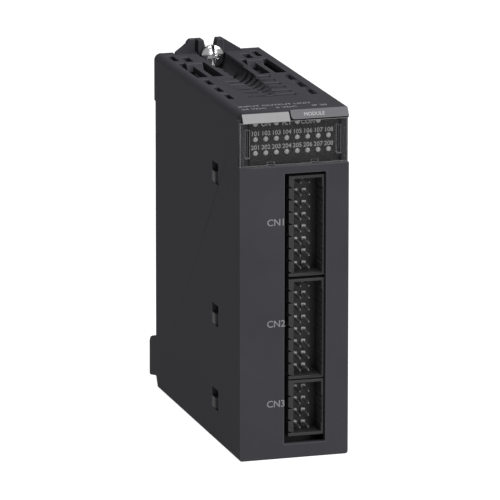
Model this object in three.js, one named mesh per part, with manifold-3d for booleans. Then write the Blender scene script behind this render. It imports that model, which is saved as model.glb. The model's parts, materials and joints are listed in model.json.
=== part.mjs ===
// A rack-mounted input/output module for an industrial controller, in millimetres, +Z up.
// X runs across the width from the middle of the module, and Z runs up from its bottom face.
// Inside the module group, Y is the distance behind the front face.
import * as THREE from 'three';
import { mergeVertices } from 'three/addons/utils/BufferGeometryUtils.js';
import Module from 'manifold-3d';

const wasm = await Module();
wasm.setup();

// Driving dimensions of the case
const width = 32;
const depth = 86;
const sideWall = 1.8;
const topWall = 1.8;
const bottomWall = 1.8;
const frontWall = 2.2;
const topCornerRadius = 2;
const topRightRadius = 0.4;
const bottomCornerRadius = 0.8;
const bandHeight = 14;
const bandStep = 1;
const heelRise = 3.3;
const heelRun = 2;
const heelLean = 1;

// Clearances between pieces
const fit = 0.3;
const touch = 0.1;
const beyond = 1;
const gridSteps = 1000;

// Display bay at the top of the front
const bayHeight = 15.5;
const bevelHeight = 2.6;
const bevelRun = 1.8;
const coverThickness = 1.3;
const coverSetBack = 0.2;
const coverFlangeDepth = 1.6;
const coverFlangeWidth = 1.2;
const coverFlangeHeight = 8;
const clipHeight = 0.9;
const clipWidth = 2;
const clipOffset = 6.4;
const panelSetBack = 2.4;
const panelThickness = 0.8;
const panelMargin = 1.8;
const seatWall = 1.7;
const shelfThickness = 2;
const stripWidth = 14;
const stripInset = 0.8;
const tabGap = 0.4;
const stripLip = 0.1;
const tabLip = 0.35;

// Signal lamps
const lampColumns = 8;
const lampEndMargin = 1.725;
const lampRadius = 0.72;
const lampHoleGap = 0.12;
const lampRows = [
  { name: 'light_guide_status', drop: 3.6, step: 2 },
  { name: 'light_guide_row_1', drop: 8, step: 1 },
  { name: 'light_guide_row_2', drop: 11.95, step: 1 },
];
const guideBarDepth = 1.4;
const guideBarHeight = 2;
const lampSize = 1.6;
const lampHeight = 1;
const lampBoardMargin = 1;
const lampBoardFoot = 2;

// Connector recess and pin headers
const recessWidth = 12.1;
const recessCentre = 3.25;
const recessBottom = 4.1;
const recessHeadGap = 1;
const recessShelfRise = 2.3;
const pinPitch = 3.5;
const columnPitch = 2.5;
const shroudWidth = 10.3;
const shroudGap = 1.5;
const shroudSetBack = 1;
const shroudDepth = 9.5;
const shroudLeftWall = 1.6;
const shroudRightWall = 0.6;
const shroudEndWall = 0.8;
const shroudFloor = 2.7;
const shroudFloorSkin = 0.8;
const leftColumn = 2;
const notchDepth = 2.2;
const notchWidth = 1.2;
const notchRise = 0.65;
const notchDrop = 1.3;
const scallopRadius = 1.3;
const scallopInset = 1;
const scallopStop = 2;
const pinSide = 1;
const pinTipSetBack = 0.5;
const tailSpread = 1.4;
const bottomMargin = 2.2;
const headerPlans = [
  { name: 'connector_3', rows: 4, gapBelow: 1.9, topMargin: 3.5 },
  { name: 'connector_2', rows: 8, gapBelow: 0.4, topMargin: 2.2 },
  { name: 'connector_1', rows: 8, gapBelow: 0.8, topMargin: 2.2 },
];

// Inner carrier that snaps into the side walls
const carrierThickness = 1.5;
const carrierSetBack = 8.9;
const armThickness = 1.1;
const armHeight = 5;
const armOverrun = 0.5;
const sideWindowFront = 21;
const sideWindowLength = 6.4;
const sideWindowHeight = 6.2;
const topWindowDrop = 25;
const middleWindowBottom = 33.7;
const bottomWindowBottom = 9;
const sideHookHeight = 3.3;
const sideHookSlit = 1.6;

// Circuit boards
const boardThickness = 1.6;
const boardFrontGap = 2;
const boardRearGap = 6;
const boardBottom = 5.5;
const boardTopGap = 9;
const boardInset = 1.7;
const spacerRadius = 2.4;
const spacerNoseRadius = 1.2;
const spacerInset = 5;

// Top face
const troughRadius = 3.5;
const troughStart = 19;
const troughFloorWall = 0.9;
const channelWall = 1.4;
const channelFloorWall = 2;
const channelLead = 2;
const pocketRadius = 4.2;
const pocketLength = 20;
const ventPitch = 5;
const ventWidth = 2.4;
const ventFirst = 21.5;
const ventRearMargin = 13;
const grooveCount = 6;
const grooveHalfLength = 7.2;
const grooveDepth = 0.7;
const hookWindowLength = 20;
const hookWindowRearGap = 15.5;
const hookWindowSideGap = 0.8;
const hookWindowWidth = 8;
const hookRibInset = 4.05;
const hookRibWidth = 1.5;
const hookWidth = 4.9;
const hookInset = 4.3;
const hookRamp = 1.5;
const hookHeadLength = 3.9;
const hookProud = 0.25;
const hookArmThickness = 1.4;
const smallSlotWidth = 1.8;
const smallSlotLength = 6.8;
const smallSlotInset = 2;
const smallSlotFirst = 20;
const smallSlotPitch = 10;
const smallSlotCount = 3;
const rearSlotWidth = 1.6;
const rearSlotGap = 3.5;
const rearSlotLength = 7.5;
const armSlotWidth = 2.2;
const armSlotGap = 1.6;
const armSlotLength = 6.4;

// Rear cover, its ears and its hooking lugs
const coverPlate = 1.8;
const earHeight = 4;
const earHalfWidth = 10;
const earThickness = 2;
const earRearGap = 0.4;
const earFootRise = 0.2;
const earFoot = 1;
const earMouthDrop = 2;
const earMouthSpread = 0.5;
const earShoulderRuns = [[6.8, 1.6], [6.5, 0.8], [5.7, 0]];
const bossLeft = 3.7;
const bossGroove = 0.7;
const bossGrooveDepth = 1;
const bossRight = 4;
const bossThickness = 3.6;
const lugReach = 7;
const lugWidth = 4.2;
const lugSideGap = 0.3;
const lugTop = 15.6;
const lugBottom = 1.7;
const lugHeel = 1.5;
const lugTipRun = 0.4;
const lugTipRise = 0.6;
const lugShoulders = [[0, 3.4], [0.8, 2.2], [2.4, 1.5]];
const lugNeckRise = 2;

// Fixing screw, M3
const screwRadius = 1.5;
const screwPitchSlack = 0.15;
const screwLength = 10;
const screwHeadRadius = 3.4;
const screwHeadHeight = 2.1;
const screwDrop = 0.7;
const slotWidth = 0.9;
const slotDepth = 1.1;
const screwDome = 0.8;
const screwTip = 0.6;
const crossLength = 3.6;
const washerThickness = 0.7;
const washerRadius = 3.2;

// Bus connector on the rear
const busPitch = 2.54;
const busRows = 12;
const busWidth = 8.4;
const busDepth = 14;
const busReach = 4.5;
const busBottom = 43;
const busEnd = 2;
const busWall = 1.2;
const busMouthDepth = 7;
const busPocketHalf = 2.6;
const busPocketDepth = 3.4;
const busHoleHalf = 0.5;
const contactHalf = 0.32;
const contactSetBack = 1;
const contactBends = [1.8, 0.6];

// Components on the two side boards: a place is how far behind the board's front edge and above
// its bottom edge the middle of the component sits
const isolatorCount = 6;
const isolatorPitch = 11.5;
const isolatorPlace = [13.6, 12.5];
const isolatorBody = [6.4, 7.4, 3.4];
const legSpread = 3.7;
const legLength = 1.2;
const legWidth = 0.8;
const legRise = 1.8;
const canRadius = 4;
const canHeight = 10;
const canFoot = 1;
const canFootLip = 0.1;
const capacitorPlaces = [[49.6, 14.5], [49.6, 28.5]];
const boardChips = [
  { name: 'output_driver_1', side: 1, place: [47.6, 44.5], size: [6, 9, 2], finish: 'chip' },
  { name: 'output_driver_2', side: 1, place: [47.6, 56.5], size: [6, 9, 2], finish: 'chip' },
  { name: 'power_converter', side: 1, place: [53.6, 70.5], size: [20, 11, 8], finish: 'chip' },
  { name: 'counter_chip', side: -1, place: [17.6, 60.5], size: [16, 16, 2], finish: 'chip' },
  { name: 'bus_chip', side: -1, place: [47.6, 52.5], size: [12, 12, 1.6], finish: 'chip' },
  { name: 'memory_chip', side: -1, place: [17.6, 38.5], size: [8, 12, 1.6], finish: 'chip' },
  { name: 'crystal', side: -1, place: [17.6, 20.5], size: [11, 4.6, 3.5], finish: 'tinned' },
];
const linkPins = 8;
const linkPlace = [32.1, 26.5];
const linkWidth = 5;
const linkBase = 2.5;
const linkPinHalf = 0.32;
const linkPinTip = -4;
const linkSocketFace = -1.5;
const linkSocketSlotHalf = 0.7;
const linkSocketSlotFloor = -5;
const linkSocketWall = 1;

// The headers stand on one another from the bottom of the recess, and set how tall the module is
const headers = [];
let stackTop = recessBottom;
for (const plan of headerPlans) {
  const bottom = stackTop + plan.gapBelow;
  const top = bottom + bottomMargin + (plan.rows - 1) * pinPitch + plan.topMargin;
  headers.push({ ...plan, bottom, top });
  stackTop = top;
}
const recessTop = stackTop + recessHeadGap;
const bayBottom = recessTop + recessShelfRise;
const height = bayBottom + bayHeight;

// Places worked out from the dimensions above
const halfWidth = width / 2;
const innerHalf = halfWidth - sideWall;
const bevelBottom = height - bevelHeight;
const seatFront = panelSetBack + panelThickness + touch;
const seatBack = seatFront + seatWall;
const bandBottom = height - bandHeight;
const lowerRear = depth - bandStep;
const recessLeft = recessCentre - recessWidth / 2;
const recessRight = recessCentre + recessWidth / 2;
const shroudLeft = recessLeft + shroudGap;
const shroudRight = shroudLeft + shroudWidth;
const pinFront = shroudSetBack + pinTipSetBack;
const carrierBack = carrierSetBack + carrierThickness;
const boardOuter = innerHalf - boardInset;
const boardInner = boardOuter - boardThickness;
const boardFace = boardInner - touch;
const boardFront = carrierBack + boardFrontGap;
const boardRear = depth - boardRearGap;
const boardTop = height - boardTopGap;
const panelHalf = innerHalf - panelMargin;
const lampPitch = (2 * (panelHalf - lampEndMargin)) / (lampColumns - 1);
const sideWindowBottoms = [height - topWindowDrop, middleWindowBottom, bottomWindowBottom];
const screwHeight = height - screwDrop;
const channelFloor = screwHeight - pocketRadius - channelFloorWall;
const channelHalf = pocketRadius + channelWall;
const earRear = depth - earRearGap;
const earTop = height + earHeight;
const bossFront = earRear - bossThickness;
const earFront = earRear - earThickness;
const washerFront = bossFront - touch - washerThickness;
const headFront = washerFront - touch - screwHeadHeight;
const pocketStart = bossFront - pocketLength;
const troughFall = (height - channelFloor - troughFloorWall) / (bossFront - troughStart);
const ventCount = 1 + Math.floor((bossFront - ventRearMargin - ventFirst) / ventPitch);
const plateFront = lowerRear - coverPlate;
const hookWindowEnd = depth - hookWindowRearGap;
const hookWindowStart = hookWindowEnd - hookWindowLength;
const hookWindowOuter = innerHalf - hookWindowSideGap;
const hookWindowInner = hookWindowOuter - hookWindowWidth;
const hookMiddle = hookWindowOuter - hookInset;
const hookFront = hookWindowEnd - fit - hookHeadLength;
const busLeft = -boardFace;
const busMiddle = busLeft + busWidth / 2;
const busHeight = busRows * busPitch + 2 * busEnd;
const busTop = busBottom + busHeight;
const busRear = depth + busReach;
const busFront = busRear - busDepth;
const linkBottom = boardBottom + linkPlace[1];
const linkTop = linkBottom + (linkPins + 1) * busPitch;
const linkMiddle = boardFront + linkPlace[0];
const linkSpan = [linkMiddle - linkWidth / 2, linkMiddle + linkWidth / 2];
const overallDepth = depth + lugReach;

const finishes = {
  casePlastic: new THREE.MeshStandardMaterial({ color: 0x3f3e42, roughness: 0.55, metalness: 0 }),
  darkPlastic: new THREE.MeshStandardMaterial({ color: 0x2a2a2c, roughness: 0.5, metalness: 0 }),
  clearPlastic: new THREE.MeshStandardMaterial({ color: 0x8b8b8e, roughness: 0.1, metalness: 0 }),
  paleStrip: new THREE.MeshStandardMaterial({ color: 0xa2a2a2, roughness: 0.5, metalness: 0 }),
  greyTab: new THREE.MeshStandardMaterial({ color: 0x7c7c80, roughness: 0.5, metalness: 0 }),
  legend: new THREE.MeshStandardMaterial({ color: 0x2e2e2e, roughness: 0.45, metalness: 0 }),
  lens: new THREE.MeshStandardMaterial({ color: 0x9a9a9a, roughness: 0.3, metalness: 0 }),
  laminate: new THREE.MeshStandardMaterial({ color: 0x1f4a33, roughness: 0.5, metalness: 0 }),
  chip: new THREE.MeshStandardMaterial({ color: 0x1b1b1d, roughness: 0.6, metalness: 0 }),
  tinned: new THREE.MeshStandardMaterial({ color: 0xb9bcc0, roughness: 0.3, metalness: 0.9 }),
  steel: new THREE.MeshStandardMaterial({ color: 0xd6d6d8, roughness: 0.2, metalness: 1 }),
};

// A closed geometry as a solid, its vertices on a fine grid so that faces meant to lie in one
// plane do.
function solid(geometry) {
  geometry.deleteAttribute('normal');
  geometry.deleteAttribute('uv');
  const places = geometry.getAttribute('position').array;
  for (let k = 0; k < places.length; k += 1) {
    places[k] = Math.round(places[k] * gridSteps) / gridSteps;
  }
  const merged = mergeVertices(geometry, 1e-4);
  return new wasm.Manifold(
    new wasm.Mesh({
      numProp: 3,
      vertProperties: merged.attributes.position.array,
      triVerts: new Uint32Array(merged.index.array),
    }),
  );
}

// A named mesh of a solid.
function piece(name, body, material) {
  const result = body.getMesh();
  const geometry = new THREE.BufferGeometry();
  geometry.setAttribute('position', new THREE.BufferAttribute(result.vertProperties, 3));
  geometry.setIndex(new THREE.BufferAttribute(result.triVerts, 1));
  const mesh = new THREE.Mesh(geometry, material);
  mesh.name = name;
  return mesh;
}

// A box between two values along each axis.
function block([x0, x1], [y0, y1], [z0, z1]) {
  const box = new THREE.BoxGeometry(x1 - x0, y1 - y0, z1 - z0);
  box.translate((x0 + x1) / 2, (y0 + y1) / 2, (z0 + z1) / 2);
  return solid(box);
}

function shapeOf(points) {
  return new THREE.Shape(points.map(([a, b]) => new THREE.Vector2(a, b)));
}

// An X-Z outline drawn out along Y.
function alongY(shape, y0, y1) {
  const drawn = new THREE.ExtrudeGeometry(shape, {
    depth: y1 - y0,
    bevelEnabled: false,
    curveSegments: 5,
  });
  drawn.rotateX(Math.PI / 2);
  drawn.translate(0, y1, 0);
  return solid(drawn);
}

// A Y-Z outline drawn out along X.
function alongX(shape, x0, x1) {
  const drawn = new THREE.ExtrudeGeometry(shape, { depth: x1 - x0, bevelEnabled: false });
  const turn = new THREE.Matrix4().makeBasis(
    new THREE.Vector3(0, 1, 0),
    new THREE.Vector3(0, 0, 1),
    new THREE.Vector3(1, 0, 0),
  );
  drawn.applyMatrix4(turn);
  drawn.translate(x0, 0, 0);
  return solid(drawn);
}

// An X-Y outline drawn up along Z.
function alongZ(shape, z0, z1) {
  const drawn = new THREE.ExtrudeGeometry(shape, { depth: z1 - z0, bevelEnabled: false });
  drawn.translate(0, 0, z0);
  return solid(drawn);
}

// A round bar along Y.
function rod(radius, [y0, y1], x, z, sides = 10) {
  const bar = new THREE.CylinderGeometry(radius, radius, y1 - y0, sides);
  bar.translate(x, (y0 + y1) / 2, z);
  return solid(bar);
}

// A round bar along X.
function crossRod(radius, [x0, x1], y, z, sides = 12) {
  const bar = new THREE.CylinderGeometry(radius, radius, x1 - x0, sides);
  bar.rotateZ(-Math.PI / 2);
  bar.translate((x0 + x1) / 2, y, z);
  return solid(bar);
}

function joined(bodies) {
  return bodies.reduce((all, body) => all.add(body));
}

function cutBy(body, tools) {
  return tools.reduce((left, tool) => left.subtract(tool), body);
}

// The same body and its mirror image about the middle of the width.
function bothSides(make) {
  return [make(1), make(-1)];
}

// A range on one side of the middle, from its two distances to the middle.
function sideRange(side, inner, outer) {
  return side > 0 ? [inner, outer] : [-outer, -inner];
}

// X places of the lamps of one row.
function lampPlaces(row) {
  const places = [];
  for (let k = 0; k < lampColumns; k += row.step) {
    places.push((k - (lampColumns - 1) / 2) * lampPitch);
  }
  return places;
}

function lampRods(radius, span) {
  return lampRows.flatMap((row) =>
    lampPlaces(row).map((x) => rod(radius, span, x, height - row.drop)),
  );
}

// One slot in the seat wall for each row of pegs.
function guideSlots() {
  const half = lampRadius + fit;
  return lampRows.map((row) => {
    const places = lampPlaces(row);
    const level = height - row.drop;
    return block(
      [places[0] - half, places[places.length - 1] + half],
      [seatFront - beyond, seatBack + beyond],
      [level - half, level + half],
    );
  });
}

function caseOutline() {
  const shape = new THREE.Shape();
  shape.moveTo(-halfWidth + bottomCornerRadius, 0);
  shape.lineTo(halfWidth - bottomCornerRadius, 0);
  shape.absarc(
    halfWidth - bottomCornerRadius, bottomCornerRadius, bottomCornerRadius, -Math.PI / 2, 0,
  );
  shape.absarc(
    halfWidth - topRightRadius, height - topRightRadius, topRightRadius, 0, Math.PI / 2,
  );
  shape.absarc(
    topCornerRadius - halfWidth, height - topCornerRadius, topCornerRadius, Math.PI / 2, Math.PI,
  );
  shape.absarc(
    bottomCornerRadius - halfWidth, bottomCornerRadius, bottomCornerRadius, Math.PI, 1.5 * Math.PI,
  );
  return shape;
}

// The screwdriver trough, tipped down towards the screw.
function troughTool() {
  const length = bossFront - troughStart + 2 * troughRadius;
  const bar = new THREE.CylinderGeometry(troughRadius, troughRadius, length, 20);
  bar.translate(0, length / 2, 0);
  bar.rotateX(-Math.atan(troughFall));
  bar.translate(0, troughStart, height + troughRadius);
  const limit = block(
    [-2 * troughRadius, 2 * troughRadius],
    [troughStart - troughRadius, bossFront],
    [channelFloor, height + 4 * troughRadius],
  );
  return solid(bar).intersect(limit);
}

function ventTools() {
  const floor = height - topWall - 2 * pocketRadius;
  const tools = [];
  for (let k = 0; k < ventCount; k += 1) {
    const middle = ventFirst + k * ventPitch;
    const span = [middle - ventWidth / 2, middle + ventWidth / 2];
    const fall = (middle - troughStart) * troughFall;
    const rise = Math.max(troughRadius - fall, 0);
    const half = Math.sqrt(troughRadius ** 2 - rise ** 2);
    tools.push(block([-half - touch, half + touch], span, [floor, height + beyond]));
    if (k < grooveCount) {
      const groove = [height - grooveDepth, height + beyond];
      tools.push(block([-grooveHalfLength, grooveHalfLength], span, groove));
    }
  }
  return tools;
}

// Windows in the top or bottom wall through which a hook of the rear cover shows.
function hookWindowTools(zRange) {
  const ribMiddle = hookWindowOuter - hookRibInset;
  return bothSides((side) => {
    const whole = sideRange(side, hookWindowInner, hookWindowOuter);
    const rib = sideRange(side, ribMiddle - hookRibWidth / 2, ribMiddle + hookRibWidth / 2);
    const ribHeight = [zRange[0] - beyond, zRange[1] + beyond];
    return block(whole, [hookWindowStart, hookWindowEnd], zRange).subtract(
      block(rib, [hookWindowStart - beyond, hookFront - fit], ribHeight),
    );
  });
}

// The small slots along each side of the top or bottom wall, and the two pairs at its rear.
function slotTools(zRange) {
  const tools = [];
  const smallMiddle = innerHalf - smallSlotInset;
  const rearStart = hookWindowEnd + rearSlotGap;
  const armStart = hookWindowEnd + armSlotGap;
  for (const side of [1, -1]) {
    const small = sideRange(side, smallMiddle - smallSlotWidth / 2, smallMiddle + smallSlotWidth / 2);
    const rear = sideRange(side, hookWindowOuter - rearSlotWidth, hookWindowOuter);
    const arm = sideRange(side, hookMiddle - armSlotWidth / 2, hookMiddle + armSlotWidth / 2);
    for (let k = 0; k < smallSlotCount; k += 1) {
      const start = smallSlotFirst + k * smallSlotPitch;
      tools.push(block(small, [start, start + smallSlotLength], zRange));
    }
    tools.push(block(rear, [rearStart, rearStart + rearSlotLength], zRange));
    tools.push(block(arm, [armStart, armStart + armSlotLength], zRange));
  }
  return tools;
}

function sideWindowTools() {
  return sideWindowBottoms.flatMap((bottom) =>
    bothSides((side) =>
      block(
        sideRange(side, innerHalf - beyond, halfWidth + beyond),
        [sideWindowFront, sideWindowFront + sideWindowLength],
        [bottom, bottom + sideWindowHeight],
      ),
    ),
  );
}

// One deep moulding, open at the rear.
function mainCase() {
  const shell = alongY(caseOutline(), 0, depth);
  const across = [-width, width];
  const within = [-innerHalf, innerHalf];
  const topInside = height - topWall;
  const topCut = [topInside - beyond, height + beyond];
  const bottomCut = [-beyond, bottomWall + beyond];
  const inside = block(within, [frontWall, depth + beyond], [bottomWall, topInside]);
  const bayFloor = block(within, [0, seatBack], [bayBottom - shelfThickness, bayBottom]);
  const seat = block(within, [seatFront, seatBack], [bayBottom, topInside]);
  const channel = block(
    [-channelHalf, channelHalf],
    [troughStart - channelLead, bossFront - fit],
    [channelFloor, height - topWall / 2],
  );
  const walls = shell.subtract(inside.subtract(bayFloor).subtract(seat)).add(channel);
  const bay = [
    block(across, [-beyond, coverSetBack + coverThickness + touch], [bayBottom, bevelBottom]),
    block(across, [-beyond, bevelRun + touch], [bevelBottom - touch, height + beyond]),
    block(within, [-beyond, seatFront], [bayBottom, topInside]),
  ];
  const heel = shapeOf([
    [lowerRear - heelRun, 0],
    [lowerRear - heelRun, -beyond],
    [depth, -beyond],
    [depth, heelRise + heelLean],
    [lowerRear, heelRise],
  ]);
  const rear = [
    block(across, [lowerRear, depth + beyond], [-beyond, bandBottom]),
    alongX(heel, -width, width),
    block([-earHalfWidth - fit, earHalfWidth + fit], [earFront - fit, depth + beyond], topCut),
    block(
      [-bossLeft - fit, bossRight + fit],
      [bossFront - fit, depth + beyond],
      [channelFloor - fit, height + beyond],
    ),
  ];
  const mouth = block(
    [recessLeft, recessRight], [-beyond, frontWall + beyond], [recessBottom, recessTop],
  );
  const pocket = rod(pocketRadius, [pocketStart, depth], 0, screwHeight, 24);
  const pocketLid = block(
    [-pocketRadius, pocketRadius], [pocketStart, bossFront], [screwHeight, height + beyond],
  );
  return cutBy(walls, [
    ...bay,
    ...rear,
    mouth,
    pocket,
    pocketLid,
    troughTool(),
    ...ventTools(),
    ...hookWindowTools(topCut),
    ...slotTools(topCut),
    ...hookWindowTools(bottomCut),
    ...slotTools(bottomCut),
    ...sideWindowTools(),
    ...guideSlots(),
  ]);
}

// Clear cover over the lamps, with a flange at each side and two clips along its lower edge.
function displayCover() {
  const back = coverSetBack + coverThickness;
  const half = halfWidth - fit;
  const flangeInner = innerHalf - fit - coverFlangeWidth;
  const middle = (bayBottom + bevelBottom) / 2;
  const sheet = block(
    [-half, half], [coverSetBack, back], [bayBottom + touch, bevelBottom - 2 * touch],
  );
  const flanges = bothSides((side) =>
    block(
      sideRange(side, flangeInner, flangeInner + coverFlangeWidth),
      [back - touch, back + coverFlangeDepth],
      [middle - coverFlangeHeight / 2, middle + coverFlangeHeight / 2],
    ),
  );
  const clips = bothSides((side) =>
    block(
      sideRange(side, clipOffset - clipWidth / 2, clipOffset + clipWidth / 2),
      [back - touch, panelSetBack - touch],
      [bayBottom + touch, bayBottom + touch + clipHeight],
    ),
  );
  return joined([sheet, ...flanges, ...clips]);
}

// Printed panel behind the cover, with a hole for each lamp.
function legendPanel() {
  const back = panelSetBack + panelThickness;
  const sheet = block(
    [-panelHalf, panelHalf],
    [panelSetBack, back],
    [bayBottom + touch, height - topWall - touch],
  );
  return cutBy(sheet, lampRods(lampRadius + lampHoleGap, [panelSetBack - beyond, back + beyond]));
}

// One moulded comb of clear pegs for a row of lamps.
function lightGuide(row) {
  const places = lampPlaces(row);
  const level = height - row.drop;
  const barFront = seatBack + touch;
  const bar = block(
    [places[0] - guideBarHeight / 2, places[places.length - 1] + guideBarHeight / 2],
    [barFront, barFront + guideBarDepth],
    [level - guideBarHeight / 2, level + guideBarHeight / 2],
  );
  const pegs = places.map((x) => rod(lampRadius, [panelSetBack - touch, barFront + touch], x, level));
  return joined([bar, ...pegs]);
}

// Small board with one lamp soldered on behind each peg.
function displayBoard() {
  const lampFront = seatBack + 2 * touch + guideBarDepth;
  const front = lampFront + lampHeight;
  const half = innerHalf - lampBoardMargin;
  const lowest = Math.max(...lampRows.map((row) => row.drop));
  const board = block(
    [-half, half],
    [front, front + boardThickness],
    [height - lowest - lampBoardFoot, height - topWall - lampBoardMargin],
  );
  const lamps = lampRows.flatMap((row) =>
    lampPlaces(row).map((x) =>
      block(
        [x - lampSize / 2, x + lampSize / 2],
        [lampFront, front + touch],
        [height - row.drop - lampSize / 2, height - row.drop + lampSize / 2],
      ),
    ),
  );
  return joined([board, ...lamps]);
}

// A bar along the sloping front edge of the top.
function edgeBar(x0, x1, front, lip) {
  const slope = shapeOf([
    [front, bevelBottom],
    [bevelRun, bevelBottom],
    [bevelRun, height],
    [bevelRun - lip, height],
    [front, bevelBottom + lip],
  ]);
  return alongX(slope, x0, x1);
}

function rowHeights(header) {
  return Array.from({ length: header.rows }, (_, k) => header.top - header.topMargin - k * pinPitch);
}

// Moulded shroud of one pin header, with coding notches down its left wall.
function headerShroud(header) {
  const bottom = header.bottom;
  const front = shroudSetBack;
  const back = front + shroudDepth;
  const floor = back - shroudFloor;
  const first = shroudLeft + shroudLeftWall + leftColumn;
  const columns = [first, first + columnPitch];
  const body = block([shroudLeft, shroudRight], [front, back], [bottom, header.top]);
  const cavity = block(
    [shroudLeft + shroudLeftWall, shroudRight - shroudRightWall],
    [front - beyond, floor],
    [bottom + shroudEndWall, header.top - shroudEndWall],
  );
  const pocket = block(
    [columns[0] - tailSpread - touch, columns[1] + tailSpread + touch],
    [floor + shroudFloorSkin, back + beyond],
    [bottom + shroudEndWall, header.top - shroudEndWall],
  );
  const tools = [cavity, pocket];
  for (const level of rowHeights(header)) {
    const half = pinSide / 2 + touch;
    for (const x of columns) {
      tools.push(block([x - half, x + half], [floor - beyond, back], [level - half, level + half]));
    }
    const notch = shapeOf([
      [shroudLeft - beyond, level - notchDrop],
      [shroudLeft + notchWidth, level - notchDrop],
      [shroudLeft - beyond, level - notchDrop + notchRise * (1 + beyond / notchWidth)],
    ]);
    tools.push(alongY(notch, front - beyond, front + notchDepth));
    const scallopMiddle = shroudRight - shroudRightWall - scallopInset;
    const between = level - pinPitch / 2;
    if (between - scallopRadius > bottom + shroudEndWall) {
      tools.push(rod(scallopRadius, [front - beyond, floor - scallopStop], scallopMiddle, between));
    }
  }
  return cutBy(body, tools);
}

// The pins of one header, held by their moulded strip and bent across to the side board.
function headerPins(header) {
  const bottom = header.bottom;
  const back = shroudSetBack + shroudDepth;
  const floor = back - shroudFloor;
  const stripFront = floor + shroudFloorSkin + touch;
  const first = shroudLeft + shroudLeftWall + leftColumn;
  const parts = [
    block(
      [first - tailSpread, first + columnPitch + tailSpread],
      [stripFront, back],
      [bottom + shroudEndWall + touch, header.top - shroudEndWall - touch],
    ),
  ];
  for (const level of rowHeights(header)) {
    for (const k of [0, 1]) {
      const bend = back + tailSpread * (2 - k);
      const outline = bentOutline(first + k * columnPitch, pinFront, bend, boardFace, pinSide / 2);
      parts.push(alongZ(outline, level - pinSide / 2, level + pinSide / 2));
    }
  }
  return joined(parts);
}

// The outline of a square wire that runs back along Y and then turns across along X.
function bentOutline(x, start, bend, end, half) {
  const way = Math.sign(end - x);
  const run = Math.sign(bend - start);
  return shapeOf([
    [x - way * half, start],
    [x + way * half, start],
    [x + way * half, bend - run * half],
    [end, bend - run * half],
    [end, bend + run * half],
    [x - way * half, bend + run * half],
  ]);
}

// Frame behind the front wall: it holds the three headers and snaps into the side walls.
function connectorCarrier() {
  const half = innerHalf - fit;
  const plate = block(
    [-half, half],
    [carrierSetBack, carrierBack],
    [bottomWall + fit, bayBottom - shelfThickness - fit],
  );
  const openings = headers.map((header) =>
    block(
      [shroudLeft - touch, shroudRight + touch],
      [carrierSetBack - beyond, carrierBack + beyond],
      [header.bottom - touch, header.top + touch],
    ),
  );
  const hookRear = sideWindowFront + sideWindowLength - touch;
  const hookStart = sideWindowFront + sideHookSlit;
  const armOuter = half - touch;
  const arms = sideWindowBottoms.flatMap((bottom) =>
    bothSides((side) => {
      const low = bottom + touch;
      const arm = block(
        sideRange(side, armOuter - armThickness, armOuter),
        [carrierBack - armOverrun, hookRear + armOverrun],
        [low - armOverrun, low + armHeight],
      );
      const reach = halfWidth - touch;
      const wedge = new THREE.Shape([
        new THREE.Vector2(side * (armOuter - armOverrun), hookStart),
        new THREE.Vector2(side * reach, hookStart + sideHookSlit),
        new THREE.Vector2(side * reach, hookRear),
        new THREE.Vector2(side * (armOuter - armOverrun), hookRear),
      ]);
      const head = new THREE.ExtrudeGeometry(wedge, { depth: sideHookHeight, bevelEnabled: false });
      head.translate(0, 0, low);
      return arm.add(solid(head));
    }),
  );
  return joined([cutBy(plate, openings), ...arms]);
}

// Side board in the Y-Z plane, with holes for the noses of the spacers.
function sideBoard(side) {
  const across = sideRange(side, boardInner, boardOuter);
  const board = block(across, [boardFront, boardRear], [boardBottom, boardTop]);
  const through = sideRange(side, boardInner - beyond, boardOuter + beyond);
  const holes = spacerPlaces().map(([y, z]) => crossRod(spacerNoseRadius + touch, through, y, z));
  return cutBy(board, holes);
}

function spacerPlaces() {
  const rows = [boardBottom + spacerInset, boardTop - spacerInset];
  const columns = [boardFront + spacerInset, boardRear - spacerInset];
  return rows.flatMap((z) => columns.map((y) => [y, z]));
}

// Nylon spacer with a nose at each end.
function boardSpacer([y, z]) {
  const body = crossRod(spacerRadius, [-boardFace, boardFace], y, z, 6);
  return body.add(crossRod(spacerNoseRadius, [-boardOuter, boardOuter], y, z));
}

// Rear cover: plate, ears around the screw, snap hooks and hooking lugs.
function rearCover() {
  const half = innerHalf - fit;
  const topEdge = height - topWall - fit;
  const plate = block([-half, half], [plateFront, lowerRear], [bottomWall + fit, topEdge]);
  const band = block([-half, half], [plateFront, depth], [bandBottom + fit, topEdge]);
  const hooks = [1, -1].flatMap((up) => bothSides((side) => rearHook(side, up)));
  const lugs = bothSides((side) => hookingLug(side));
  const solidCover = joined([plate, band, screwEars(), screwBoss(), ...hooks, ...lugs]);
  return cutBy(solidCover, [screwSlot(), busOpening()]);
}

// The gusset that stands up on each side of the screw.
function screwEars() {
  const foot = height - topWall - earFoot;
  const ears = shapeOf([
    [-earHalfWidth, foot],
    [earHalfWidth, foot],
    [earHalfWidth, height + earFootRise],
    [bossRight, earTop],
    ...earShoulderRuns.map(([reach, drop]) => [-reach, earTop - drop]).reverse(),
    [-earHalfWidth, height + earFootRise],
  ]);
  const groove = block(
    [-bossLeft - bossGroove, -bossLeft],
    [earFront - beyond, earFront + bossGrooveDepth],
    [height, earTop + beyond],
  );
  return alongY(ears, earFront, earRear).subtract(groove);
}

// The thick block that the screw seats against.
function screwBoss() {
  return block([-bossLeft, bossRight], [bossFront, earRear], [channelFloor, earTop]);
}

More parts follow.
